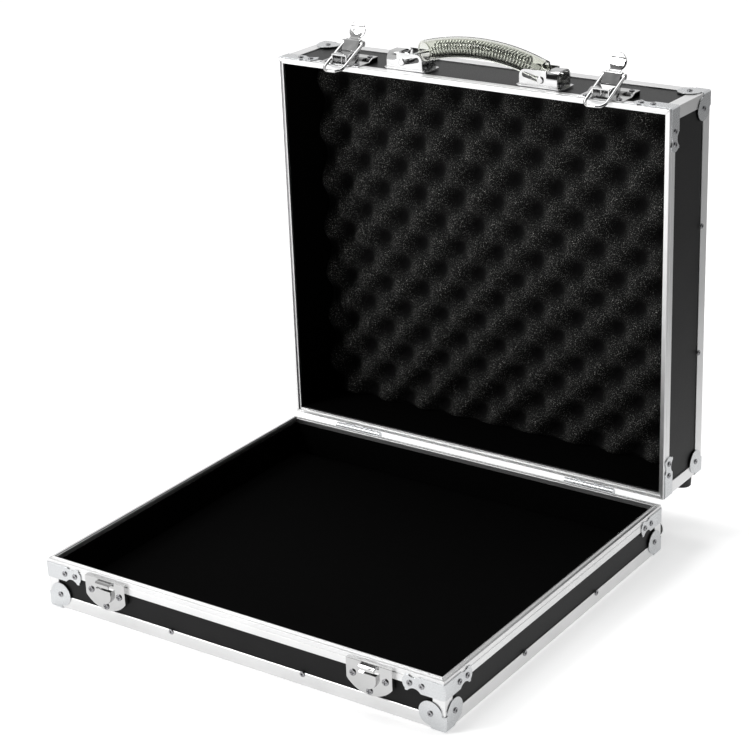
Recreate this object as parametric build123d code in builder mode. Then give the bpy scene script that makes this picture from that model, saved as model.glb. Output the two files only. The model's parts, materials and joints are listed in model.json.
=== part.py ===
from build123d import *
import math
import os

# An attache case standing open on its tray: the tray lies flat, the lid stands upright behind it.
# World frame, millimetres: +X to the right along the hinge line, +Y to the back, +Z up.
# Each half has its own plane: local z runs from the half's outer base (0) to its rim (its depth).

# ---- driving dimensions ----
case_width = 450.0
case_length = 395.0
tray_depth = 49.0
lid_depth = 84.0
hinge_gap = 3.5          # from an outer wall to the hinge axis, which lies in the rims' meeting plane

skin = 1.2               # wall of the aluminium extrusions
panel = 3.0              # laminated board
rim_width = 5.5
rim_band = 12.5          # outer leg of the rim extrusion
rim_web = 3.6
edge_leg = 13.5
post_leg = 12.6
parting = 0.1            # each rim stops this far short of the meeting plane
saw_kerf = 0.1
tongue_height = 1.4
tongue_inset = (3.6, 5.0)
groove_inset = 3.2
groove_depth = 1.8

corner_sheet = 1.0       # stamped steel of the corners and braces
lobe_offset = 14.5
lobe_radius = 12.0
brace_top = 3.0
brace_bottom = 18.5
brace_reach = 40.0
rivet_radius = 2.8
rivet_height = 1.0
brace_rivets = (22.5, 35.0)
brace_rivet_drop = 10.6
band_rivet_height = 12.0

lining_gap = 0.05
lining = 1.0
tray_pad_height = 8.0
foam_height = 21.0

keeper_x = 150.0
keeper_width = 48.0
keeper_top = 2.6
keeper_side = 22.0
keeper_bottom = 33.8
keeper_plate = 3.6
keeper_reach = 8.0       # how far the hook stands out from the front wall
keeper_screws = ((-17.0, -15.9), (17.0, -15.9), (0.0, -29.6))

hinge_x = 142.0
hinge_width = 56.0
barrel_radius = 2.8
hinge_pin_radius = 1.2
leaf_sheet = 1.2
leaf_reach = 13.0
leaf_start = 3.4
knuckle_gap = 0.2
running_clearance = 0.06

foot_height = 13.0       # rubber feet sit over the lobes on both hinge walls
foot_radius = 10.5
foot_well = (4.0, 8.0)   # radius and depth of the screw's well

latch_x = keeper_x
latch_width = 48.0
latch_front = 4.0
latch_back = 39.0
lever_pivot = (24.0, 6.5)     # behind the rim plane, above the latch wall
lever_open = 50.0             # degrees from lying flat
lever_half = 9.2
lever_length = 34.5
lever_neck = 12.0
lever_pin_radius = 1.5
bail_pivot = (12.5, 1.5)      # along the lever, out from its pivot
bail_pin_radius = 1.4
bail_length = 46.0
bail_half = 11.3
bail_wire = 1.6
bail_droop = 26.0             # degrees below the latch wall

handle_back = 27.0            # handle's middle, behind the rim plane
grip_top = 28.0               # centre line's highest point above the latch wall
grip_bend = 215.0
grip_ends = (61.0, 70.0)      # the tube's ends, left and right of the handle's middle
spring_ends = (47.0, 60.0)
strap_ends = (66.0, 66.0)
grip_outer = 10.5
grip_inner = 8.4
bracket_inner = 56.0
bracket_arch = 86.0
bracket_outer = 98.0
bracket_half = 13.0
bracket_wall = 1.5
bracket_height = 17.5
slot_tilt = 12.0
slot_travel = 18.0
end_pin_place = (79.6, 8.3)
end_pin_radius = 2.4

# ---- places worked out from them ----
base_level = corner_sheet
back_wall_y = (case_length + keeper_reach - hinge_gap - lid_depth - corner_sheet - rivet_height) / 2
rim_level = base_level + tray_depth
hinge_y = back_wall_y + hinge_gap
latch_wall_z = rim_level + hinge_gap + case_length

tray = Plane(
    origin=(0, back_wall_y - case_length / 2, base_level),
    x_dir=(1, 0, 0),
    z_dir=(0, 0, 1),
)
lid = Plane(
    origin=(0, hinge_y + lid_depth, latch_wall_z - case_length / 2),
    x_dir=(1, 0, 0),
    z_dir=(0, -1, 0),
)
FRONT_OR_HINGE = (0, -1)      # a half's local -Y wall: the tray's front, the lid's hinge wall
BACK_OR_LATCH = (0, 1)
LEFT = (-1, 0)
RIGHT = (1, 0)
SIDES = (FRONT_OR_HINGE, BACK_OR_LATCH, LEFT, RIGHT)
CORNERS = ((-1, -1), (1, -1), (1, 1), (-1, 1))

os.makedirs("parts", exist_ok=True)


def finish(builder, name):
    """Label a finished piece and write it as its own STEP file."""
    builder.part.label = name
    export_step(builder.part, f"parts/{name}.step")


# ---- planes and shared shapes ----
def wall_plane(half, side, along, height, proud=0.0):
    """A plane on an outer wall, its normal away from the case and its x axis towards the rim."""
    u = side[0] * (case_width / 2 + proud) if side[0] else along
    v = side[1] * (case_length / 2 + proud) if side[1] else along
    normal = half.x_dir * side[0] + half.y_dir * side[1]
    return Plane(origin=half.from_local_coords(Vector(u, v, height)), x_dir=half.z_dir, z_dir=normal)


def corner_plane(half, corner, height, into):
    """A right-handed plane at a case corner, x and y pointing inward; into is +1 towards the rim."""
    origin = half.from_local_coords(
        Vector(corner[0] * case_width / 2, corner[1] * case_length / 2, height)
    )
    inward_u = half.x_dir * -corner[0]
    inward_v = half.y_dir * -corner[1]
    z_dir = half.z_dir * into
    right_handed = inward_u.cross(inward_v).dot(z_dir) > 0
    return Plane(origin=origin, x_dir=inward_u if right_handed else inward_v, z_dir=z_dir)


def band(half, low, high, outer, inner, mode=Mode.ADD):
    """A rectangular band round the case, between two heights and two insets."""
    with BuildSketch(half.offset(low)) as outline:
        Rectangle(case_width - 2 * outer, case_length - 2 * outer)
        Rectangle(case_width - 2 * inner, case_length - 2 * inner, mode=Mode.SUBTRACT)
    extrude(outline.sketch, amount=high - low, mode=mode)


def saw_mitres(half, low, high, width):
    """Cut a band at its four corners, so that it is four mitred lengths."""
    with BuildSketch(half.offset(low)) as cuts:
        for corner in CORNERS:
            spot = (
                corner[0] * (case_width - width) / 2,
                corner[1] * (case_length - width) / 2,
            )
            with Locations(spot):
                Rectangle(2 * width, saw_kerf, rotation=45 * corner[0] * corner[1])
    extrude(cuts.sketch, amount=high - low, mode=Mode.SUBTRACT)


with BuildPart() as ball_corner:
    # Three round lobes on the three faces that meet at a corner; the corner's point is the origin.
    reach = lobe_offset + corner_sheet
    for face in (
        Plane(origin=(0, 0, -corner_sheet), x_dir=(1, 0, 0), z_dir=(0, 0, 1)),
        Plane(origin=(-corner_sheet, 0, 0), x_dir=(0, 1, 0), z_dir=(1, 0, 0)),
        Plane(origin=(0, -corner_sheet, 0), x_dir=(0, 0, 1), z_dir=(0, 1, 0)),
    ):
        with BuildSketch(face) as lobe:
            with Locations((lobe_offset, lobe_offset)):
                Circle(lobe_radius)
            with Locations((-corner_sheet, -corner_sheet)):
                Rectangle(reach, reach, align=(Align.MIN, Align.MIN))
        extrude(lobe.sketch, amount=corner_sheet)
    outer_edges = [
        edge
        for edge in ball_corner.edges()
        if sum(abs(value + corner_sheet) < 0.01 for value in edge.center()) == 2
    ]
    fillet(outer_edges, radius=2.2)

with BuildPart() as rim_brace:
    # Two fishtail arms that wrap a rim corner; x and y run inward, z down from the rim.
    for face in (
        Plane(origin=(0, -corner_sheet, 0), x_dir=(1, 0, 0), z_dir=(0, -1, 0)).offset(-corner_sheet),
        Plane(origin=(-corner_sheet, 0, 0), x_dir=(0, 1, 0), z_dir=(1, 0, 0)),
    ):
        down = 1 if face.y_dir.Z > 0 else -1
        with BuildSketch(face) as arm:
            with Locations((-corner_sheet, down * brace_top)):
                Rectangle(
                    brace_reach + corner_sheet,
                    brace_bottom - brace_top,
                    align=(Align.MIN, Align.MIN if down > 0 else Align.MAX),
                )
            with Locations((brace_reach - 4.0, down * 10.6)):
                Ellipse(6.5, 7.8)
            with Locations((brace_reach - 9.5, down * 23.0)):
                Circle(8.0, mode=Mode.SUBTRACT)
            with Locations((brace_reach - 9.0, down * -2.2)):
                Circle(7.0, mode=Mode.SUBTRACT)
        extrude(arm.sketch, amount=corner_sheet)
    upright = [
        edge
        for edge in rim_brace.edges().filter_by(Axis.Z)
        if abs(edge.center().X + corner_sheet) < 0.01 and abs(edge.center().Y + corner_sheet) < 0.01
    ]
    fillet(upright, radius=2.0)

with BuildPart() as rivet:
    Cylinder(rivet_radius, rivet_height, align=(Align.CENTER, Align.CENTER, Align.MIN))
    fillet(rivet.edges().filter_by(GeomType.CIRCLE).sort_by(Axis.Z)[-1], radius=0.6)
    with Locations((0, 0, rivet_height)):
        Cylinder(1.1, 0.7, align=(Align.CENTER, Align.CENTER, Align.MAX), mode=Mode.SUBTRACT)

with BuildPart() as slotted_screw:
    Cylinder(3.2, 1.3, align=(Align.CENTER, Align.CENTER, Align.MIN))
    fillet(slotted_screw.edges().filter_by(GeomType.CIRCLE).sort_by(Axis.Z)[-1], radius=0.7)
    with Locations((0, 0, 1.3)):
        Box(4.4, 0.9, 1.4, mode=Mode.SUBTRACT)
        Box(0.9, 4.4, 1.4, mode=Mode.SUBTRACT)

with BuildPart() as small_screw:
    Cylinder(1.9, 0.8, align=(Align.CENTER, Align.CENTER, Align.MIN))
    with Locations((0, 0, 0.8)):
        Box(2.6, 0.6, 0.8, mode=Mode.SUBTRACT)

with BuildPart() as rubber_foot:
    with BuildSketch() as sole:
        Circle(foot_radius)
    extrude(sole.sketch, amount=foot_height, taper=3)
    with Locations((0, 0, foot_height)):
        Cylinder(*foot_well, align=(Align.CENTER, Align.CENTER, Align.MAX), mode=Mode.SUBTRACT)


def copies(shape, planes, name):
    """Several copies of one small piece, kept together in one node."""
    with BuildPart() as group:
        with Locations(*[plane.location for plane in planes]):
            add(shape.part)
    finish(group, name)


# ---- the shell that both halves share ----
def make_shell(name, half, depth, wall_names, has_tongue):
    """Panels, extrusions, corner pieces and rivets of one half."""
    wall_low = skin + panel
    wall_high = depth - rim_web
    wall_height = wall_high - wall_low

    with BuildPart() as base_panel:
        with BuildSketch(half.offset(skin)):
            Rectangle(case_width - 2 * skin, case_length - 2 * skin)
        extrude(amount=panel)
    finish(base_panel, f"{name}_base_panel")

    for side, wall_name in zip(SIDES, wall_names):
        if side[1]:
            size = (case_width - 2 * skin, panel)
            spot = (0, side[1] * (case_length / 2 - skin - panel / 2))
        else:
            size = (panel, case_length - 2 * (skin + panel))
            spot = (side[0] * (case_width / 2 - skin - panel / 2), 0)
        with BuildPart() as wall:
            with BuildSketch(half.offset(wall_low)):
                with Locations(spot):
                    Rectangle(*size)
            extrude(amount=wall_height)
        finish(wall, f"{name}_{wall_name}_wall")

    with BuildPart() as edge_angles:
        band(half, 0, edge_leg, 0, skin)
        band(half, 0, skin, 0, edge_leg)
        saw_mitres(half, 0, edge_leg, edge_leg)
    finish(edge_angles, f"{name}_edge_angles")

    with BuildPart() as corner_posts:
        with BuildSketch(half.offset(edge_leg)):
            Rectangle(case_width, case_length)
            Rectangle(case_width - 2 * skin, case_length - 2 * skin, mode=Mode.SUBTRACT)
            Rectangle(case_width - 2 * post_leg, case_length, mode=Mode.SUBTRACT)
            Rectangle(case_width, case_length - 2 * post_leg, mode=Mode.SUBTRACT)
        extrude(amount=depth - rim_band - edge_leg)
    finish(corner_posts, f"{name}_corner_posts")

    face = depth - parting
    with BuildPart() as rim:
        band(half, depth - rim_band, face, 0, skin)
        band(half, depth - rim_web, face, 0, rim_width)
        band(half, depth - 9.0, face, skin + panel + lining_gap, rim_width)
        band(half, depth - 5.4, depth - 4.8, 0, 0.3, mode=Mode.SUBTRACT)
        if has_tongue:
            band(half, face, depth + tongue_height, *tongue_inset)
        else:
            band(half, face - groove_depth, face, groove_inset, rim_width, mode=Mode.SUBTRACT)
        saw_mitres(half, depth - rim_band, depth + 2 * tongue_height, rim_width)
    finish(rim, f"{name}_rim")

    copies(
        rim_brace,
        [corner_plane(half, corner, depth, -1) for corner in CORNERS],
        f"{name}_rim_braces",
    )


def shell_rivets(half, depth, footed_side):
    """Planes for the rivets in a half's braces, side lobes and edge angles."""
    planes = []
    for side in SIDES:
        length = case_width if side[1] else case_length
        for end in (-1, 1):
            for offset in brace_rivets:
                along = end * (length / 2 - offset)
                planes.append(
                    wall_plane(half, side, along, depth - brace_rivet_drop, corner_sheet)
                )
            along = end * (length / 2 - lobe_offset)
            if side != footed_side:
                planes.append(wall_plane(half, side, along, lobe_offset, corner_sheet))
            planes.append(wall_plane(half, side, end * length / 6, band_rivet_height))
    return planes


def base_lobe_planes(half, proud):
    """Planes for the rivets in the lobes on a half's outer base, facing outward."""
    planes = []
    for corner in CORNERS:
        spot = Vector(
            corner[0] * (case_width / 2 - lobe_offset),
            corner[1] * (case_length / 2 - lobe_offset),
            -proud,
        )
        planes.append(
            Plane(origin=half.from_local_coords(spot), x_dir=half.x_dir, z_dir=half.z_dir * -1)
        )
    return planes


make_shell("tray", tray, tray_depth, ("front", "back", "left", "right"), True)
make_shell("lid", lid, lid_depth, ("hinge", "latch", "left", "right"), False)

# The tray stands on its four base lobes, so their rivets are flush; the lid's are domed.
with BuildPart() as tray_ball_corners:
    with Locations(*[corner_plane(tray, corner, 0, 1).location for corner in CORNERS]):
        add(ball_corner.part)
    with Locations(*[plane.location for plane in base_lobe_planes(tray, 0)]):
        Cylinder(
            rivet_radius,
            corner_sheet,
            align=(Align.CENTER, Align.CENTER, Align.MIN),
            mode=Mode.SUBTRACT,
        )
finish(tray_ball_corners, "tray_ball_corners")
copies(ball_corner, [corner_plane(lid, corner, 0, 1) for corner in CORNERS], "lid_ball_corners")

with BuildPart() as tray_rivets:
    with Locations(*[plane.location for plane in shell_rivets(tray, tray_depth, BACK_OR_LATCH)]):
        add(rivet.part)
    with Locations(*[plane.location for plane in base_lobe_planes(tray, 0)]):
        Cylinder(rivet_radius, corner_sheet, align=(Align.CENTER, Align.CENTER, Align.MIN))
finish(tray_rivets, "tray_rivets")
copies(
    rivet,
    shell_rivets(lid, lid_depth, FRONT_OR_HINGE) + base_lobe_planes(lid, corner_sheet),
    "lid_rivets",
)


# ---- linings and foam ----
def make_soft(name, half, depth, pad_name, pad_height):
    """The felt on a half's walls, and the foam on its base."""
    lining_inset = rim_width + lining_gap
    with BuildPart() as wall_lining:
        band(half, skin + panel, depth - 5.0, lining_inset, lining_inset + lining)
    finish(wall_lining, f"{name}_wall_lining")
    pad_inset = lining_inset + lining + lining_gap
    with BuildPart() as pad:
        with BuildSketch(half.offset(skin + panel)):
            Rectangle(case_width - 2 * pad_inset, case_length - 2 * pad_inset)
        extrude(amount=pad_height)
    finish(pad, pad_name)


make_soft("tray", tray, tray_depth, "tray_foam_pad", tray_pad_height)
make_soft("lid", lid, lid_depth, "lid_foam_block", foam_height)


# ---- rubber feet on the two hinge walls ----
def make_feet(name, half, side):
    """Two rubber feet over the lobes, and the screws in their wells."""
    foot_x = case_width / 2 - lobe_offset
    planes = [wall_plane(half, side, end * foot_x, lobe_offset, corner_sheet) for end in (-1, 1)]
    copies(rubber_foot, planes, f"{name}_rubber_feet")
    floors = [plane.offset(foot_height - foot_well[1]) for plane in planes]
    copies(slotted_screw, floors, f"{name}_foot_screws")


make_feet("tray", tray, BACK_OR_LATCH)
make_feet("lid", lid, FRONT_OR_HINGE)


# ---- hinges ----
knuckle = (hinge_width - 4 * knuckle_gap) / 5
tray_knuckles = (0, 2, 4)
lid_knuckles = (1, 3)


def knuckle_start(x_middle, index):
    return x_middle - hinge_width / 2 + index * (knuckle + knuckle_gap)


def make_leaf(name, x_middle, knuckles, leaf_plane, bore):
    """A hinge leaf; leaf_plane's x runs from the axis along the leaf, its y towards the wall."""
    side_plane = leaf_plane.offset(x_middle - hinge_width / 2)
    with BuildPart() as leaf:
        with BuildSketch(side_plane) as flat:
            with Locations((leaf_start, hinge_gap - leaf_sheet)):
                Rectangle(leaf_reach - leaf_start, leaf_sheet, align=(Align.MIN, Align.MIN))
        extrude(flat.sketch, amount=hinge_width)
        for index in knuckles:
            with BuildSketch(leaf_plane.offset(knuckle_start(x_middle, index))) as curl:
                Circle(barrel_radius)
                with Locations((0, hinge_gap - leaf_sheet)):
                    Rectangle(leaf_start, leaf_sheet, align=(Align.MIN, Align.MIN))
                Circle(bore, mode=Mode.SUBTRACT)
            extrude(curl.sketch, amount=knuckle)
    finish(leaf, name)


tray_leaf_plane = Plane(origin=(0, hinge_y, rim_level), x_dir=(0, 0, -1), z_dir=(1, 0, 0))
lid_leaf_plane = Plane(origin=(0, hinge_y, rim_level), x_dir=(0, 1, 0), z_dir=(1, 0, 0))

for side_name, side_sign in (("left", -1), ("right", 1)):
    middle = side_sign * hinge_x
    make_leaf(f"tray_hinge_leaf_{side_name}", middle, tray_knuckles, tray_leaf_plane, hinge_pin_radius)
    make_leaf(
        f"lid_hinge_leaf_{side_name}",
        middle,
        lid_knuckles,
        lid_leaf_plane,
        hinge_pin_radius + running_clearance,
    )

with BuildPart() as hinge_pins:
    for side_sign in (-1, 1):
        with BuildSketch(tray_leaf_plane.offset(side_sign * hinge_x - hinge_width / 2)) as section:
            Circle(hinge_pin_radius)
        extrude(section.sketch, amount=hinge_width)
finish(hinge_pins, "hinge_pins")

screw_drop = (leaf_start + leaf_reach) / 2
tray_leaf_screws = []
lid_leaf_screws = []
for side_sign in (-1, 1):
    for offset in (-20.0, 0.0, 20.0):
        along = side_sign * hinge_x + offset
        tray_leaf_screws.append(
            wall_plane(tray, BACK_OR_LATCH, along, tray_depth - screw_drop, leaf_sheet)
        )
        lid_leaf_screws.append(
            wall_plane(lid, FRONT_OR_HINGE, along, lid_depth - screw_drop, leaf_sheet)
        )
copies(small_screw, tray_leaf_screws, "tray_hinge_screws")
copies(small_screw, lid_leaf_screws, "lid_hinge_screws")


# ---- latch keepers on the tray's front wall ----
def keeper_plane(x_middle):
    """On the tray's front wall at rim height: x to the right, y up, z out to the front."""
    front = back_wall_y - case_length
    return Plane(origin=(x_middle, front, rim_level), x_dir=(1, 0, 0), z_dir=(0, -1, 0))


def make_keeper(name, x_middle):
    """A D-shaped plate with a raised box, and a hook over the recess that takes the bail."""
    plane = keeper_plane(x_middle)
    half_width = keeper_width / 2
    side_on = Plane(origin=plane.origin, x_dir=(0, -1, 0), z_dir=(-1, 0, 0))
    with BuildPart() as keeper:
        with BuildSketch(plane) as plate:
            with BuildLine():
                Line((-half_width, -keeper_top), (half_width, -keeper_top))
                Line((half_width, -keeper_top), (half_width, -keeper_side))
                ThreePointArc(
                    (half_width, -keeper_side), (0, -keeper_bottom), (-half_width, -keeper_side)
                )
                Line((-half_width, -keeper_side), (-half_width, -keeper_top))
            make_face()
        extrude(plate.sketch, amount=keeper_plate)
        with BuildSketch(plane.offset(keeper_plate)) as box:
            with Locations((0, -11.0)):
                Rectangle(19.0, 6.0, align=(Align.CENTER, Align.MAX))
            with Locations((0, -16.5)):
                Circle(9.5)
            with Locations((0, -11.0)):
                Rectangle(24.0, 10.0, align=(Align.CENTER, Align.MIN), mode=Mode.SUBTRACT)
        extrude(box.sketch, amount=3.2, taper=8)
        with BuildSketch(side_on.offset(-8.0)) as hook:
            with BuildLine():
                Polyline(
                    (keeper_plate, -3.6),
                    (keeper_reach - 1.4, -3.6),
                    (keeper_reach, -5.2),
                    (keeper_reach, -8.2),
                    (keeper_reach - 1.2, -8.2),
                    (keeper_reach - 1.6, -6.2),
                    (keeper_plate, -6.2),
                    close=True,
                )
            make_face()
        extrude(hook.sketch, amount=16.0)
        with BuildSketch(plane) as hook_root:
            with Locations((0, -3.6)):
                Rectangle(16.0, 3.0, align=(Align.CENTER, Align.MAX))
        extrude(hook_root.sketch, amount=keeper_plate)
    finish(keeper, name)


keeper_screw_planes = []
for side_name, side_sign in (("left", -1), ("right", 1)):
    make_keeper(f"latch_keeper_{side_name}", side_sign * keeper_x)
    face_plane = keeper_plane(side_sign * keeper_x).offset(keeper_plate)
    for spot in keeper_screws:
        keeper_screw_planes.append(
            Plane(
                origin=face_plane.from_local_coords(Vector(*spot, 0)),
                x_dir=(1, 0, 0),
                z_dir=face_plane.z_dir,
            )
        )
copies(slotted_screw, keeper_screw_planes, "keeper_screws")


# ---- draw latches on the lid's latch wall ----
def latch_side_plane(x_middle, along, above, angle):
    """A plane across a latch: x runs along a direction at an angle above +Y, z to the right."""
    turn = math.radians(angle)
    return Plane(
        origin=(x_middle, hinge_y + along, latch_wall_z + above),
        x_dir=(0, math.cos(turn), math.sin(turn)),
        z_dir=(1, 0, 0),
    )


def make_latch_base(name, x_middle):
    """A stepped plate with a tunnel in front and two ears that hold the lever's pin."""
    flat = latch_side_plane(x_middle, 0, 0, 0)
    pivot = Vector(*lever_pivot)
    with BuildPart() as base:
        with BuildSketch(flat.offset(-latch_width / 2)) as plate:
            with BuildLine():
                Polyline(
                    (latch_front, 0),
                    (23.0, 0),
                    (29.0, 2.8),
                    (latch_back - skin, 2.8),
                    (latch_back - skin, -skin),
                    (latch_back, -skin),
                    (latch_back, 4.0),
                    (28.5, 4.0),
                    (22.5, skin),
                    (latch_front, skin),
                    close=True,
                )
            make_face()
        extrude(plate.sketch, amount=latch_width)
        front_end = Plane(
            origin=(x_middle, hinge_y + latch_front + 0.5, latch_wall_z),
            x_dir=(1, 0, 0),
            z_dir=(0, -1, 0),
        )
        with BuildSketch(front_end.offset(-14.7)) as tunnel:
            Rectangle(2 * lever_half, 10.5, align=(Align.CENTER, Align.MIN))
            Rectangle(2 * lever_half - 2.6, 9.1, align=(Align.CENTER, Align.MIN), mode=Mode.SUBTRACT)
        extrude(tunnel.sketch, amount=14.7)
        for ear_start in (-7.8, 6.6):
            with BuildSketch(flat.offset(ear_start)) as ear:
                with Locations((pivot.X, pivot.Y)):
                    Circle(3.5)
                with Locations((pivot.X, 0.6)):
                    Rectangle(7.0, pivot.Y - 0.6, align=(Align.CENTER, Align.MIN))
                with Locations((pivot.X, pivot.Y)):
                    Circle(lever_pin_radius, mode=Mode.SUBTRACT)
            extrude(ear.sketch, amount=1.2)
    finish(base, name)


def make_lever(name, x_middle):
    """A channel lever with a neck and a round spoon tip, standing open."""
    side = latch_side_plane(x_middle, *lever_pivot, lever_open)
    plan = Plane(origin=side.origin, x_dir=(1, 0, 0), z_dir=side.y_dir)
    with BuildPart() as lever:
        with BuildSketch(side.offset(-lever_half)) as sheet:
            with BuildLine():
                Polyline((13.0, 3.8), (2.0, 3.8), (2.0, 5.0), (13.5, 5.0))
                Spline(
                    (13.5, 5.0),
                    (16.5, 3.2),
                    (21.0, 2.5),
                    (28.0, 3.6),
                    (lever_length, 7.0),
                    tangents=((1, -0.1), (1, 0.8)),
                )
                Line((lever_length, 7.0), (lever_length + 0.8, 6.0))
                Spline(
                    (lever_length + 0.8, 6.0),
                    (28.4, 2.4),
                    (21.0, 1.3),
                    (16.0, 2.0),
                    (13.0, 3.8),
                    tangents=((-1, -0.8), (-1, 0.3)),
                )
            make_face()
        extrude(sheet.sketch, amount=2 * lever_half)
        with BuildSketch(plan) as outline:
            with Locations((0, -6.0)):
                Rectangle(2 * lever_half, 20.5, align=(Align.CENTER, Align.MIN))
            with Locations((0, 10.0)):
                Rectangle(lever_neck, 12.0, align=(Align.CENTER, Align.MIN))
            with Locations((0, lever_length - 8.3)):
                Ellipse(lever_half, 8.9)
        extrude(outline.sketch, amount=20.0, both=True, mode=Mode.INTERSECT)
        for start in (-lever_half, lever_half - 1.2):
            with BuildSketch(side.offset(start)) as flange:
                with BuildLine():
                    Polyline(
                        (0, 4.4),
                        (14.5, 4.4),
                        (16.4, 2.5),
                        (16.4, -0.6),
                        (14.6, -1.9),
                        (4.6, -2.1),
                        (2.0, -3.0),
                        (0, -4.0),
                    )
                    ThreePointArc((0, -4.0), (-4.0, 0), (0, 4.4))
                make_face()
                Circle(lever_pin_radius + running_clearance, mode=Mode.SUBTRACT)
                with Locations(bail_pivot):
                    Circle(bail_pin_radius + running_clearance, mode=Mode.SUBTRACT)
            extrude(flange.sketch, amount=1.2)
    finish(lever, name)


def bail_centre():
    """The bail's pivot behind the rim plane and above the latch wall, with the lever open."""
    turn = math.radians(lever_open)
    along = lever_pivot[0] + bail_pivot[0] * math.cos(turn) - bail_pivot[1] * math.sin(turn)
    above = lever_pivot[1] + bail_pivot[0] * math.sin(turn) + bail_pivot[1] * math.cos(turn)
    return along, above


def cross_pin(x_middle, place, radius, half_length):
    """A plain pin across a latch, added to the piece that is being built."""
    with BuildSketch(latch_side_plane(x_middle, *place, 0).offset(-half_length)) as section:
        Circle(radius)
    extrude(section.sketch, amount=2 * half_length)


def make_bail(name, x_middle):
    """A wire loop that hangs forward over the rim, its two eyes fast on the bail's pin."""
    side = latch_side_plane(x_middle, *bail_centre(), 180 + bail_droop)
    loop_plane = Plane(origin=side.origin, x_dir=side.x_dir, z_dir=side.y_dir)
    across = 1 if loop_plane.y_dir.X > 0 else -1
    eye_radius = 2.9
    with BuildPart() as bail:
        with BuildLine(loop_plane) as route:
            FilletPolyline(
                (eye_radius - 0.5, -across * bail_half),
                (bail_length, -across * bail_half),
                (bail_length, across * bail_half),
                (eye_radius - 0.5, across * bail_half),
                radius=8.0,
            )
        with BuildSketch(Plane(origin=route.line @ 0, z_dir=route.line % 0)):
            Circle(bail_wire)
        sweep(path=route.line)
        for middle in (-bail_half, bail_half):
            with BuildSketch(side.offset(middle - 1.3)) as eye:
                Circle(eye_radius)
            extrude(eye.sketch, amount=2.6)
        with BuildSketch(side.offset(-20.0)) as bore:
            Circle(bail_pin_radius)
        extrude(bore.sketch, amount=40.0, mode=Mode.SUBTRACT)
    finish(bail, name)


with BuildPart() as latch_lever_pins:
    for side_sign in (-1, 1):
        cross_pin(side_sign * latch_x, lever_pivot, lever_pin_radius, lever_half)
finish(latch_lever_pins, "latch_lever_pins")

hardware_rivet_planes = []
for side_name, side_sign in (("left", -1), ("right", 1)):
    middle = side_sign * latch_x
    make_latch_base(f"latch_base_{side_name}", middle)
    make_lever(f"latch_lever_{side_name}", middle)
    with BuildPart() as bail_pin:
        cross_pin(middle, bail_centre(), bail_pin_radius, bail_half + bail_wire + 0.3)
    finish(bail_pin, f"latch_bail_pin_{side_name}")
    make_bail(f"latch_bail_{side_name}", middle)
    for across in (-18.0, 18.0):
        for along, above in ((9.0, skin), (33.5, 4.0)):
            hardware_rivet_planes.append(
                Plane(
                    origin=(middle + across, hinge_y + along, latch_wall_z + above),
                    x_dir=(1, 0, 0),
                    z_dir=(0, 0, 1),
                )
            )


# ---- carrying handle ----
handle_y = hinge_y + handle_back


def handle_plane(outward):
    """On the latch wall at the handle's middle; x runs outward to the left or the right."""
    return Plane(origin=(0, handle_y, latch_wall_z), x_dir=(outward, 0, 0), z_dir=(0, 0, 1))


def make_bracket(name, outward):
    """A base plate, two slotted walls and an arch over the outer end."""
    ground = handle_plane(outward)
    upright = Plane(origin=ground.origin, x_dir=ground.x_dir, z_dir=ground.y_dir * -1)
    end_on = Plane(origin=ground.origin, x_dir=ground.y_dir, z_dir=ground.x_dir)
    slot_middle_x = end_pin_place[0] - slot_travel / 2 * math.cos(math.radians(slot_tilt))
    slot_middle_z = end_pin_place[1] + slot_travel / 2 * math.sin(math.radians(slot_tilt))
    with BuildPart() as bracket:
        with BuildSketch(ground) as foot:
            with Locations(((bracket_inner + bracket_outer) / 2, 0)):
                RectangleRounded(bracket_outer - bracket_inner + 10.0, 2 * bracket_half, 4.0)
        extrude(foot.sketch, amount=skin)
        for wall_start in (-bracket_half, bracket_half - bracket_wall):
            with BuildSketch(upright.offset(wall_start)) as wall:
                with Locations((bracket_inner, 0)):
                    Rectangle(
                        bracket_arch - bracket_inner, bracket_height, align=(Align.MIN, Align.MIN)
                    )
                inner_top = wall.vertices().sort_by(Axis.Y)[-2:].sort_by(Axis.X)[0]
                fillet(inner_top, radius=7.0)
            extrude(wall.sketch, amount=bracket_wall)
        with BuildSketch(end_on.offset(bracket_arch)) as arch:
            Rectangle(2 * bracket_half, bracket_height, align=(Align.CENTER, Align.MIN))
            shoulders = arch.vertices().sort_by(Axis.Y)[-2:]
            fillet(shoulders, radius=8.0)
        extrude(arch.sketch, amount=bracket_outer - bracket_arch)
        with BuildSketch(end_on.offset(bracket_arch)) as hollow:
            with Locations((0, skin)):
                Rectangle(
                    2 * (bracket_half - bracket_wall),
                    bracket_height - bracket_wall - skin,
                    align=(Align.CENTER, Align.MIN),
                )
            hollow_top = hollow.vertices().sort_by(Axis.Y)[-2:]
            fillet(hollow_top, radius=6.5)
        extrude(hollow.sketch, amount=bracket_outer - bracket_arch, mode=Mode.SUBTRACT)
        with BuildSketch(upright.offset(-2 * bracket_half)) as slot:
            with Locations((slot_middle_x, slot_middle_z)):
                SlotCenterToCenter(slot_travel, 2 * end_pin_radius + 0.6, rotation=-slot_tilt)
        extrude(slot.sketch, amount=4 * bracket_half, mode=Mode.SUBTRACT)
    finish(bracket, name)


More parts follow.
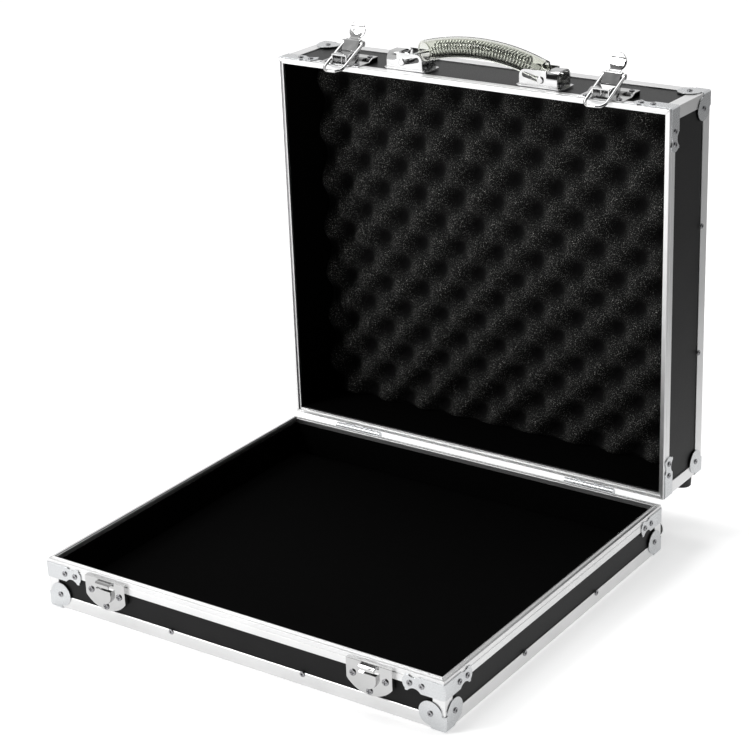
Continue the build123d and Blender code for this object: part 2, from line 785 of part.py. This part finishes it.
def make_strap_end(name, outward):
    """The eye at a strap's end, round the pin that rides in the slots."""
    upright = handle_plane(outward)
    upright = Plane(origin=upright.origin, x_dir=upright.x_dir, z_dir=upright.y_dir * -1)
    with BuildPart() as strap_end:
        with BuildSketch(upright.offset(-5.0)) as eye:
            with Locations(end_pin_place):
                Circle(3.6)
            with BuildLine():
                Polyline(
                    (end_pin_place[0] - 2.6, end_pin_place[1] + 1.8),
                    (end_pin_place[0] - 4.7, end_pin_place[1] + 3.9),
                    (end_pin_place[0] - 4.0, end_pin_place[1] + 4.6),
                    (end_pin_place[0] - 1.9, end_pin_place[1] + 2.5),
                    close=True,
                )
            make_face()
            with Locations(end_pin_place):
                Circle(end_pin_radius, mode=Mode.SUBTRACT)
        extrude(eye.sketch, amount=10.0)
    finish(strap_end, name)


def make_end_pin(name, outward):
    """The headed pin that rides in a bracket's slots."""
    upright = handle_plane(outward)
    upright = Plane(origin=upright.origin, x_dir=upright.x_dir, z_dir=upright.y_dir * -1)
    head_start = bracket_half + 0.2
    with BuildPart() as pin:
        with BuildSketch(upright.offset(-head_start)) as shank:
            with Locations(end_pin_place):
                Circle(end_pin_radius)
        extrude(shank.sketch, amount=2 * head_start)
        for start in (-head_start - 1.4, head_start):
            with BuildSketch(upright.offset(start)) as head:
                with Locations(end_pin_place):
                    Circle(3.5)
            extrude(head.sketch, amount=1.4)
        head_rims = [
            edge
            for edge in pin.edges().filter_by(GeomType.CIRCLE)
            if abs(abs(edge.center().Y - handle_y) - head_start - 1.4) < 0.01
        ]
        fillet(head_rims, radius=0.8)
    finish(pin, name)


for side_name, outward in (("left", -1), ("right", 1)):
    make_bracket(f"handle_bracket_{side_name}", outward)
    make_strap_end(f"handle_strap_end_{side_name}", outward)
    make_end_pin(f"handle_end_pin_{side_name}", outward)

for outward in (-1, 1):
    ground = handle_plane(outward)
    for place in (62.0, 92.0):
        hardware_rivet_planes.append(
            Plane(
                origin=ground.from_local_coords(Vector(place, 0, skin)),
                x_dir=(1, 0, 0),
                z_dir=(0, 0, 1),
            )
        )
copies(rivet, hardware_rivet_planes, "latch_wall_rivets")

bend_centre = Vector(0, handle_y, latch_wall_z + grip_top - grip_bend)
bend_axis = Axis(bend_centre, (0, 1, 0))


def make_bent(name, section, ends):
    """A length of the handle that follows its bend between two ends; section draws its profile."""
    left, right = [math.asin(end / grip_bend) for end in ends]
    origin = bend_centre + Vector(-math.sin(left), 0, math.cos(left)) * grip_bend
    start = Plane(origin=origin, x_dir=(0, 1, 0), z_dir=(math.cos(left), 0, math.sin(left)))
    with BuildPart() as bent:
        with BuildSketch(start):
            section()
        revolve(axis=bend_axis, revolution_arc=math.degrees(left + right))
    finish(bent, name)


def ring(outer, inner):
    Circle(outer)
    Circle(inner, mode=Mode.SUBTRACT)


make_bent("handle_tube", lambda: ring(grip_outer, grip_inner), grip_ends)
make_bent("handle_spring", lambda: ring(7.3, 5.4), spring_ends)
make_bent("handle_strap", lambda: Rectangle(10.0, 1.0), strap_ends)
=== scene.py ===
import json
import math

import bmesh
import bpy
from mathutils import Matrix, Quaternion, Vector


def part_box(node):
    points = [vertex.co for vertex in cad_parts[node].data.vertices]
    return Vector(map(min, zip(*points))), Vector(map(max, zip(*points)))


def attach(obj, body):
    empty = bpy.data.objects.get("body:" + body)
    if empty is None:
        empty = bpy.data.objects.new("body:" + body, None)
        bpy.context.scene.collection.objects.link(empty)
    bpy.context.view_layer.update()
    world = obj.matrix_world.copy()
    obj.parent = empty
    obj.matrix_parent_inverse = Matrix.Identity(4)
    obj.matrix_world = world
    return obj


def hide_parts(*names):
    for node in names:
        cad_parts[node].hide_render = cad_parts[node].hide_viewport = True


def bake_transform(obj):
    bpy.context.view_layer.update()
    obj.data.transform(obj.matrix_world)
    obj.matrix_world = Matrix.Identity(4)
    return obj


# The attache case stands open on its tray. Everything is in metres in the CAD frame:
# +X to the right along the hinge line, +Y to the back, +Z up.
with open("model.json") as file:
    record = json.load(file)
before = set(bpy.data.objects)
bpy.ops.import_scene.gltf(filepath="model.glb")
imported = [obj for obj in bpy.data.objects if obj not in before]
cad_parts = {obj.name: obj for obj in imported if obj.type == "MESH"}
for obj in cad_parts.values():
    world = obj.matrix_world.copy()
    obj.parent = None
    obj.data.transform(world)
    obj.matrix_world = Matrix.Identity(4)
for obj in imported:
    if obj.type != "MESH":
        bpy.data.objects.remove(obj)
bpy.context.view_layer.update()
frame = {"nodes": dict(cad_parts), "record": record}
nodes = frame["nodes"]
MM = 0.001


# ---- materials ----
def new_material(name, color, metallic=0.0, roughness=0.5):
    """A Principled material, and its node tree and shader for further wiring."""
    material = bpy.data.materials.new(name)
    material.use_nodes = True
    tree = material.node_tree
    shader = tree.nodes["Principled BSDF"]
    shader.inputs["Base Color"].default_value = (*color, 1.0)
    shader.inputs["Metallic"].default_value = metallic
    shader.inputs["Roughness"].default_value = roughness
    return material, tree, shader


def object_coordinates(tree, stretch=(1.0, 1.0, 1.0)):
    """The row frame's own coordinates, in metres, stretched along each axis."""
    place = tree.nodes.new("ShaderNodeTexCoord")
    mapping = tree.nodes.new("ShaderNodeMapping")
    mapping.inputs["Scale"].default_value = stretch
    tree.links.new(place.outputs["Object"], mapping.inputs["Vector"])
    return mapping.outputs["Vector"]


def noise(tree, scale, detail=3.0, stretch=(1.0, 1.0, 1.0)):
    """A noise value over the surface; scale is in features per metre."""
    texture = tree.nodes.new("ShaderNodeTexNoise")
    texture.inputs["Scale"].default_value = scale
    texture.inputs["Detail"].default_value = detail
    tree.links.new(object_coordinates(tree, stretch), texture.inputs["Vector"])
    return texture.outputs["Fac"]


def spread(tree, value, low, high, from_low=0.3, from_high=0.7):
    """Map a value onto a range."""
    ramp = tree.nodes.new("ShaderNodeMapRange")
    ramp.inputs["From Min"].default_value = from_low
    ramp.inputs["From Max"].default_value = from_high
    ramp.inputs["To Min"].default_value = low
    ramp.inputs["To Max"].default_value = high
    tree.links.new(value, ramp.inputs["Value"])
    return ramp.outputs["Result"]


def mix_colors(tree, value, first, second):
    """A colour between two, by a value from 0 to 1."""
    mix = tree.nodes.new("ShaderNodeMix")
    mix.data_type = "RGBA"
    mix.inputs["A"].default_value = (*first, 1.0)
    mix.inputs["B"].default_value = (*second, 1.0)
    tree.links.new(value, mix.inputs["Factor"])
    return mix.outputs["Result"]


def add_bump(tree, shader, height, strength, distance):
    """Bump from a height value; distance is in metres."""
    bump = tree.nodes.new("ShaderNodeBump")
    bump.inputs["Strength"].default_value = strength
    bump.inputs["Distance"].default_value = distance
    tree.links.new(height, bump.inputs["Height"])
    tree.links.new(bump.outputs["Normal"], shader.inputs["Normal"])


def make_metal(name, color, dark, roughness, grain_scale, grain_bump, pressed=0.0):
    """A metal with slight colour changes and a fine grain; pressed sheet is wavy too."""
    material, tree, shader = new_material(name, color, metallic=1.0, roughness=roughness)
    clouds = spread(tree, noise(tree, 22.0, 4.0), 0.0, 1.0)
    tree.links.new(mix_colors(tree, clouds, color, dark), shader.inputs["Base Color"])
    grain = noise(tree, grain_scale, 2.0)
    tree.links.new(
        spread(tree, grain, roughness * 0.8, roughness * 1.25), shader.inputs["Roughness"]
    )
    add_bump(tree, shader, grain, grain_bump, 0.00004)
    if pressed:
        waves = tree.nodes.new("ShaderNodeBump")
        waves.inputs["Strength"].default_value = pressed
        waves.inputs["Distance"].default_value = 0.0008
        tree.links.new(noise(tree, 75.0, 1.0), waves.inputs["Height"])
        fine = shader.inputs["Normal"].links[0].from_node
        tree.links.new(waves.outputs["Normal"], fine.inputs["Normal"])
    return material


aluminium = make_metal(
    "satin_aluminium", (0.76, 0.76, 0.76), (0.70, 0.70, 0.70), 0.36, 2600.0, 0.12
)
zinc = make_metal("zinc_plate", (0.60, 0.61, 0.62), (0.52, 0.53, 0.54), 0.27, 1400.0, 0.10)
chrome = make_metal(
    "bright_nickel", (0.53, 0.53, 0.53), (0.46, 0.46, 0.46), 0.08, 900.0, 0.03, pressed=0.5
)
steel_wire = make_metal(
    "spring_steel", (0.70, 0.71, 0.69), (0.60, 0.61, 0.60), 0.24, 1800.0, 0.05
)
# Rivets and screws: darker steel, partly their own grey-brown tone and partly painted shade
# standing in for the dark rings round their heads.
rivet_steel_and_shade = make_metal(
    "rivet_steel_and_shade", (0.34, 0.34, 0.35), (0.24, 0.24, 0.25), 0.24, 1200.0, 0.08
)


def make_laminate():
    """Black laminate with a fine hammered grain."""
    material, tree, shader = new_material("black_laminate", (0.012, 0.012, 0.013), roughness=0.4)
    clouds = spread(tree, noise(tree, 30.0, 3.0), 0.0, 1.0)
    color = mix_colors(tree, clouds, (0.0045, 0.0045, 0.0048), (0.0070, 0.0070, 0.0074))
    tree.links.new(color, shader.inputs["Base Color"])
    shader.inputs["Specular IOR Level"].default_value = 0.13
    grain = noise(tree, 1100.0, 2.0)
    tree.links.new(spread(tree, grain, 0.34, 0.46), shader.inputs["Roughness"])
    add_bump(tree, shader, grain, 0.35, 0.00012)
    return material


def make_felt():
    """Deep black short-pile felt."""
    material, tree, shader = new_material("black_felt", (0.004, 0.004, 0.004), roughness=0.95)
    shader.inputs["Specular IOR Level"].default_value = 0.03
    pile = noise(tree, 1500.0, 5.0)
    tufts = spread(tree, pile, 0.0, 1.0)
    color = mix_colors(tree, tufts, (0.0010, 0.0010, 0.0010), (0.0030, 0.0030, 0.0030))
    tree.links.new(color, shader.inputs["Base Color"])
    add_bump(tree, shader, pile, 0.5, 0.0004)
    return material


def make_foam(top, bottom):
    """Charcoal open-cell foam with painted glints as small light flecks, and painted shade that
    darkens it from the tops of its bumps to the valleys, in Y.
    """
    material, tree, shader = new_material("charcoal_foam", (0.03, 0.03, 0.03), roughness=0.9)
    shader.inputs["Specular IOR Level"].default_value = 0.10
    cells = tree.nodes.new("ShaderNodeTexVoronoi")
    cells.inputs["Scale"].default_value = 620.0
    tree.links.new(object_coordinates(tree), cells.inputs["Vector"])
    pores = spread(tree, noise(tree, 900.0, 3.0), 0.0, 1.0)
    body = mix_colors(tree, pores, (0.006, 0.006, 0.006), (0.020, 0.020, 0.019))
    # Painted glints: small light flecks standing in for the sparkle of light off the foam's
    # cells.
    painted_glints = spread(tree, noise(tree, 1350.0, 1.0), 0.0, 1.0, 0.65, 0.72)
    light = tree.nodes.new("ShaderNodeMix")
    light.data_type = "RGBA"
    light.inputs["B"].default_value = (0.55, 0.55, 0.52, 1.0)
    tree.links.new(painted_glints, light.inputs["Factor"])
    tree.links.new(body, light.inputs["A"])
    # Painted shade: the foam darkens from the tops of its bumps towards the valleys, in Y.
    parts = tree.nodes.new("ShaderNodeSeparateXYZ")
    tree.links.new(object_coordinates(tree), parts.inputs["Vector"])
    valley_shade = spread(tree, parts.outputs["Y"], 0.0, 1.0, top, bottom)
    valley_shade_mix = tree.nodes.new("ShaderNodeMix")
    valley_shade_mix.data_type = "RGBA"
    valley_shade_mix.inputs["B"].default_value = (0.0030, 0.0030, 0.0030, 1.0)
    tree.links.new(valley_shade, valley_shade_mix.inputs["Factor"])
    tree.links.new(light.outputs["Result"], valley_shade_mix.inputs["A"])
    tree.links.new(valley_shade_mix.outputs["Result"], shader.inputs["Base Color"])
    add_bump(tree, shader, cells.outputs["Distance"], 0.7, 0.0008)
    return material


def make_rubber():
    """Matt black rubber."""
    material, tree, shader = new_material("black_rubber", (0.010, 0.010, 0.010), roughness=0.62)
    grain = noise(tree, 700.0, 3.0)
    tree.links.new(spread(tree, grain, 0.55, 0.72), shader.inputs["Roughness"])
    add_bump(tree, shader, grain, 0.2, 0.0001)
    return material


def make_vinyl():
    """Clear, faintly grey vinyl tube."""
    material, tree, shader = new_material("clear_vinyl", (0.80, 0.81, 0.76), roughness=0.04)
    shader.inputs["Transmission Weight"].default_value = 1.0
    shader.inputs["IOR"].default_value = 1.12
    haze = noise(tree, 60.0, 3.0)
    tree.links.new(spread(tree, haze, 0.0, 0.04), shader.inputs["Roughness"])
    return material


laminate = make_laminate()
felt = make_felt()
foam_low, foam_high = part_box("lid_foam_block")
foam_middle = foam_low.y + 3.0 * MM
foam_swell = 7.6 * MM
# The foam's painted shade runs from just in front of its bump tops back to its valleys.
foam = make_foam(foam_middle - 0.45 * foam_swell, foam_middle + 0.8 * foam_swell)
rubber = make_rubber()
vinyl = make_vinyl()

finishes = {
    "black_laminate": laminate,
    "aluminium": aluminium,
    "zinc_plate": zinc,
    "bright_plate": chrome,
    "black_felt": felt,
    "black_foam": foam,
    "rubber": rubber,
    "clear_tube": vinyl,
    "spring_steel": steel_wire,
}
slot_of = {part["node"]: part["material_slot"] for part in frame["record"]["subparts"]}


def soften(node, width, segments=2, angle=35):
    """Weld a CAD mesh's split edges, and round its sharp ones."""
    weld = node.modifiers.new("weld", "WELD")
    weld.merge_threshold = 0.00001
    bevel = node.modifiers.new("bevel", "BEVEL")
    bevel.width = width
    bevel.segments = segments
    bevel.limit_method = "ANGLE"
    bevel.angle_limit = math.radians(angle)
    bevel.harden_normals = False
    bevel.use_clamp_overlap = True


for name, node in nodes.items():
    # Rivets and screws get the darker steel, which carries painted shade.
    small = "rivets" in name or "screws" in name
    finish = rivet_steel_and_shade if small else finishes[slot_of[name]]
    for material_slot in node.material_slots:
        material_slot.material = finish
    if not node.material_slots:
        node.data.materials.append(finish)

for half in ("tray", "lid"):
    soften(nodes[f"{half}_edge_angles"], 0.9 * MM, 3)
    soften(nodes[f"{half}_rim"], 0.35 * MM)
    soften(nodes[f"{half}_corner_posts"], 0.7 * MM, 3)
    soften(nodes[f"{half}_rim_braces"], 0.3 * MM)
    soften(nodes[f"{half}_ball_corners"], 0.3 * MM)
    soften(nodes[f"{half}_rubber_feet"], 0.8 * MM, 3)
for side in ("left", "right"):
    for part in ("latch_keeper", "latch_base", "latch_lever", "handle_bracket"):
        soften(nodes[f"{part}_{side}"], 0.3 * MM)


# ---- mesh helpers ----
def mesh_object(name, vertices, faces, smooth=True):
    """A mesh object at the origin, with outward normals."""
    mesh = bpy.data.meshes.new(name)
    mesh.from_pydata([tuple(v) for v in vertices], [], faces)
    working = bmesh.new()
    working.from_mesh(mesh)
    bmesh.ops.recalc_face_normals(working, faces=working.faces)
    working.to_mesh(mesh)
    working.free()
    piece = bpy.data.objects.new(name, mesh)
    bpy.context.scene.collection.objects.link(piece)
    if smooth:
        for polygon in mesh.polygons:
            polygon.use_smooth = True
    return piece


def closed_sheet(name, front, back, columns, rows):
    """A solid between two grids of the same size, listed row by row, closed around its rim."""
    width = columns + 1
    count = len(front)
    faces = []
    for row in range(rows):
        for column in range(columns):
            a = row * width + column
            faces.append((a, a + 1, a + 1 + width, a + width))
            faces.append((count + a + width, count + a + 1 + width, count + a + 1, count + a))
    rim = list(range(width))
    rim += [row * width + columns for row in range(1, rows + 1)]
    rim += [rows * width + column for column in range(columns - 1, -1, -1)]
    rim += [row * width for row in range(rows - 1, 0, -1)]
    for index, a in enumerate(rim):
        b = rim[(index + 1) % len(rim)]
        faces.append((a, b, count + b, count + a))
    return mesh_object(name, front + back, faces)


def dress(piece, material):
    """Give a piece its material."""
    piece.data.materials.append(material)
    return piece


# ---- the lid's convoluted foam ----
foam_back = foam_high.y
bump_across = 47.0 * MM
bump_down = 53.0 * MM
foam_edge_shrink = 2.2 * MM


def foam_height(x, z):
    """How far the foam's face lies in front of its mean plane, towards the rim."""
    across = x / bump_across
    down = (z - foam_high.z) / bump_down
    wander = 0.05 * math.sin(21.0 * x + 1.3) + 0.05 * math.sin(17.0 * z + 0.4)
    ridge = math.cos(2 * math.pi * (across - down + wander))
    cross = math.cos(2 * math.pi * (across + down - wander) + 0.6)
    return foam_swell * (0.62 * ridge + 0.38 * cross)


def make_foam_sheet():
    """A heightfield over the lid's outer panel, closed behind."""
    columns, rows = 150, 132
    step_x = (foam_high.x - foam_low.x) / columns
    step_z = (foam_high.z - foam_low.z) / rows
    front, back = [], []
    for row in range(rows + 1):
        for column in range(columns + 1):
            x = foam_low.x + column * step_x
            z = foam_low.z + row * step_z
            edge = min(column, columns - column, row, rows - row) / 2.0
            shrink = foam_edge_shrink * max(0.0, 1.0 - edge) ** 2
            y = foam_middle - foam_height(x, z) + shrink
            front.append((x, y, z))
            back.append((x, foam_back, z))
    return closed_sheet("lid_convoluted_foam", front, back, columns, rows)


lid_foam = dress(make_foam_sheet(), foam)
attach(lid_foam, "lid")
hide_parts("lid_foam_block")


# ---- the tray's felt-covered pad ----
pad_edge = 6.0 * MM
pad_edge_drop = 1.6 * MM
pad_unevenness = 0.35 * MM
pad_sink = 0.5 * MM


def make_pad():
    """A flat pad with soft edges, very slightly uneven on top."""
    low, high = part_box("tray_foam_pad")
    columns, rows = 72, 63
    top, bottom = [], []
    for row in range(rows + 1):
        for column in range(columns + 1):
            x = low.x + (high.x - low.x) * column / columns
            y = low.y + (high.y - low.y) * row / rows
            inset = min(x - low.x, high.x - x, y - low.y, high.y - y)
            drop = pad_edge_drop * max(0.0, 1.0 - inset / pad_edge) ** 2
            wave = pad_unevenness * math.sin(19.0 * x + 0.5) * math.sin(23.0 * y + 1.1)
            top.append((x, y, high.z - pad_sink - drop + wave))
            bottom.append((x, y, low.z))
    return closed_sheet("tray_felt_pad", top, bottom, columns, rows)


tray_pad = dress(make_pad(), felt)
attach(tray_pad, "tray")
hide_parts("tray_foam_pad")

# ---- the handle ----
tube_low, tube_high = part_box("handle_tube")
handle_y = (tube_low.y + tube_high.y) / 2
tube_outer = (tube_high.y - tube_low.y) / 2
tube_inner = 8.4 * MM
arc_radius = 215.0 * MM
arc_centre = Vector((0, handle_y, tube_high.z - tube_outer - arc_radius))
tube_ends = {"left": -61.0 * MM, "right": 76.0 * MM}
coil_ends = {"left": -47.0 * MM, "right": 60.0 * MM}
coil_radius = 6.9 * MM
coil_wire = 1.1 * MM
coil_pitch = 3.4 * MM
strap_on_arc = 70.0 * MM
strap_half_width = 5.0 * MM
strap_half_thick = 0.5 * MM
strap_eye = Vector((-3.2 * MM, 0, 2.6 * MM))  # the strap's end, from the end pin's middle
sideways = Vector((0, 1, 0))


def arc_frame(x):
    """The arc's point and outward direction at a distance x from the middle."""
    angle = math.asin(x / arc_radius)
    outward = Vector((math.sin(angle), 0, math.cos(angle)))
    return arc_centre + outward * arc_radius, outward


def make_tube(name, start, end):
    """A hollow tube along the arc, with a rounded lip at start and open at the middle seam."""
    stations, around = 40, 48
    places = [start + (end - start) * index / stations for index in range(stations + 1)]
    lip_middle = (tube_outer + tube_inner) / 2
    lip_round = (tube_outer - tube_inner) / 2
    sign = 1 if start > end else -1
    lip = []
    for index in range(1, 6):
        turn = math.pi * index / 6
        x = start - sign * lip_round * (1 - math.sin(turn))
        lip.append((x, lip_middle - lip_round * math.cos(turn)))
    inner = [(x, tube_inner) for x in reversed(places)]
    loop = inner + lip + [(x, tube_outer) for x in places]
    vertices = []
    for x, radius in loop:
        centre, outward = arc_frame(x)
        for step in range(around):
            turn = 2 * math.pi * step / around
            up, across = radius * math.cos(turn), radius * math.sin(turn)
            vertices.append(centre + outward * up + sideways * across)
    faces = []
    for index in range(len(loop) - 1):
        for step in range(around):
            a = index * around + step
            b = index * around + (step + 1) % around
            faces.append((a, b, b + around, a + around))
    return mesh_object(name, vertices, faces)


def make_coil(name, start, end):
    """A helical spring along the arc."""
    turns = abs(start - end) / coil_pitch
    steps = int(turns * 26)
    around = 10
    path = []
    for index in range(steps + 1):
        share = index / steps
        centre, outward = arc_frame(start + (end - start) * share)
        turn = 2 * math.pi * turns * (1 - share)
        up, across = coil_radius * math.cos(turn), coil_radius * math.sin(turn)
        path.append(centre + outward * up + sideways * across)
    vertices = []
    for index, point in enumerate(path):
        before = path[max(index - 1, 0)]
        after = path[min(index + 1, steps)]
        along = (after - before).normalized()
        centre, _ = arc_frame(start + (end - start) * index / steps)
        out = (point - centre).normalized()
        out = (out - along * out.dot(along)).normalized()
        side = along.cross(out)
        for step in range(around):
            turn = 2 * math.pi * step / around
            vertices.append(point + (out * math.cos(turn) + side * math.sin(turn)) * coil_wire)
    faces = []
    for index in range(steps):
        for step in range(around):
            a = index * around + step
            b = index * around + (step + 1) % around
            faces.append((a, b, b + around, a + around))
    faces.append(tuple(range(around)))
    faces.append(tuple(steps * around + step for step in range(around)))
    return mesh_object(name, vertices, faces)


def make_strap(name, sign):
    """Half of the flat strap: along the arc, then down to the eye on the end pin."""
    pin_low, pin_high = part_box("handle_end_pin_right")
    pin = Vector(((pin_low.x + pin_high.x) / 2, handle_y, (pin_low.z + pin_high.z) / 2))
    points = [arc_frame(strap_on_arc * index / 24)[0] for index in range(25)]
    reach = pin + strap_eye
    last = points[-1]
    for share in (0.35, 0.7, 1.0):
        points.append(last.lerp(reach, share))
    vertices = []
    for index, point in enumerate(points):
        before = points[max(index - 1, 0)]
        after = points[min(index + 1, len(points) - 1)]
        along = (after - before).normalized()
        outward = Vector((-along.z, 0, along.x))
        if outward.z < 0:
            outward.negate()
        for across, up in ((-1, -1), (1, -1), (1, 1), (-1, 1)):
            place = point + sideways * across * strap_half_width + outward * up * strap_half_thick
            vertices.append((sign * place.x, place.y, place.z))
    faces = []
    for index in range(len(points) - 1):
        for step in range(4):
            a = index * 4 + step
            b = index * 4 + (step + 1) % 4
            faces.append((a, b, b + 4, a + 4))
    faces.append((0, 1, 2, 3))
    last = (len(points) - 1) * 4
    faces.append((last, last + 1, last + 2, last + 3))
    piece = mesh_object(name, vertices, faces, smooth=False)
    bevel = piece.modifiers.new("bevel", "BEVEL")
    bevel.width = 0.3 * MM
    bevel.segments = 2
    return piece


for side, sign in (("left", -1), ("right", 1)):
    tube = dress(make_tube(f"handle_tube_{side}", tube_ends[side], 0.0), vinyl)
    coil = dress(make_coil(f"handle_coil_{side}", coil_ends[side], 0.0), steel_wire)
    strap = dress(make_strap(f"handle_strap_{side}", sign), steel_wire)
    for piece in (tube, coil, strap):
        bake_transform(piece)
    if side == "left":
        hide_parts("handle_tube")
        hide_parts("handle_spring")
        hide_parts("handle_strap")

# ---- floor, light and camera ----
azimuth = math.radians(33.79)  # the camera's side step from straight ahead
elevation = math.radians(22.13)
roll = math.radians(-1.62)

floor_mesh = bpy.data.meshes.new("floor")
floor_reach = 30.0
floor_corners = [
    (x * floor_reach, y * floor_reach, 0) for x, y in ((-1, -1), (1, -1), (1, 1), (-1, 1))
]
floor_mesh.from_pydata(floor_corners, [], [(0, 1, 2, 3)])
floor = bpy.data.objects.new("floor", floor_mesh)
bpy.context.scene.collection.objects.link(floor)


def make_floor_material():
    """A white studio floor with painted shade: it falls off to grey on the right, outside the
    picture, so that the metal's right-facing sides reflect it darker.
    """
    material, tree, shader = new_material("pale_floor", (0.93, 0.93, 0.93), roughness=0.8)
    place = tree.nodes.new("ShaderNodeTexCoord")
    rightward = tree.nodes.new("ShaderNodeVectorMath")
    rightward.operation = "DOT_PRODUCT"
    rightward.inputs[1].default_value = (0.912, 0.410, 0)
    tree.links.new(place.outputs["Object"], rightward.inputs[0])
    # Painted shade: the floor darkens to the right, where the metal sees it in reflection.
    painted_shade_falloff = spread(tree, rightward.outputs["Value"], 0.0, 1.0, 0.38, 0.85)
    color = mix_colors(tree, painted_shade_falloff, (0.93, 0.93, 0.93), (0.30, 0.30, 0.30))
    tree.links.new(color, shader.inputs["Base Color"])
    tree.links.new(color, shader.inputs["Emission Color"])
    shader.inputs["Emission Strength"].default_value = 0.50
    return material


floor_mesh.materials.append(make_floor_material())


def make_world():
    """A bright room that is dark behind the viewer, so that polished metal shows contrast."""
    world = bpy.data.worlds.new("studio")
    world.use_nodes = True
    tree = world.node_tree
    place = tree.nodes.new("ShaderNodeTexCoord")
    facing = tree.nodes.new("ShaderNodeVectorMath")
    facing.operation = "DOT_PRODUCT"
    facing.inputs[1].default_value = (math.sin(azimuth), -math.cos(azimuth), 0.6)
    tree.links.new(place.outputs["Generated"], facing.inputs[0])
    dark = spread(tree, facing.outputs["Value"], 0.0, 1.0, 0.22, 0.75)
    color = mix_colors(tree, dark, (0.96, 0.96, 0.96), (0.03, 0.03, 0.03))
    tree.links.new(color, tree.nodes["Background"].inputs["Color"])
    tree.nodes["Background"].inputs["Strength"].default_value = 0.95
    bpy.context.scene.world = world


make_world()
bpy.context.scene.view_settings.view_transform = "Standard"


def add_light(name, location, target, size, power):
    """A square area light, in watts, that faces a target."""
    light = bpy.data.lights.new(name, "AREA")
    light.shape = "SQUARE"
    light.size = size
    light.energy = power
    lamp = bpy.data.objects.new(name, light)
    lamp.location = location
    direction = Vector(target) - Vector(location)
    lamp.rotation_mode = "QUATERNION"
    lamp.rotation_quaternion = direction.to_track_quat("-Z", "Y")
    bpy.context.scene.collection.objects.link(lamp)


add_light("key", (-1.3, -1.5, 1.9), (0, 0.1, 0.25), 0.7, 24)
add_light("low_front", (-1.3, -1.9, 0.45), (0, -0.1, 0.1), 0.8, 7)
add_light("top", (-0.4, 0.5, 2.4), (0, 0.1, 0.2), 1.2, 16)

camera_data = bpy.data.cameras.new("camera")
camera = bpy.data.objects.new("camera", camera_data)
bpy.context.scene.collection.objects.link(camera)
level = math.cos(elevation)
view = Vector((-math.sin(azimuth) * level, math.cos(azimuth) * level, -math.sin(elevation)))
camera.rotation_mode = "QUATERNION"
camera.rotation_quaternion = view.to_track_quat("-Z", "Y") @ Quaternion((0, 0, 1), roll)
camera.location = (1.0563, -1.4889, 0.9392)
camera_data.lens = 98.77
camera_data.shift_x = -0.0733
camera_data.clip_end = 100.0
bpy.context.scene.camera = camera
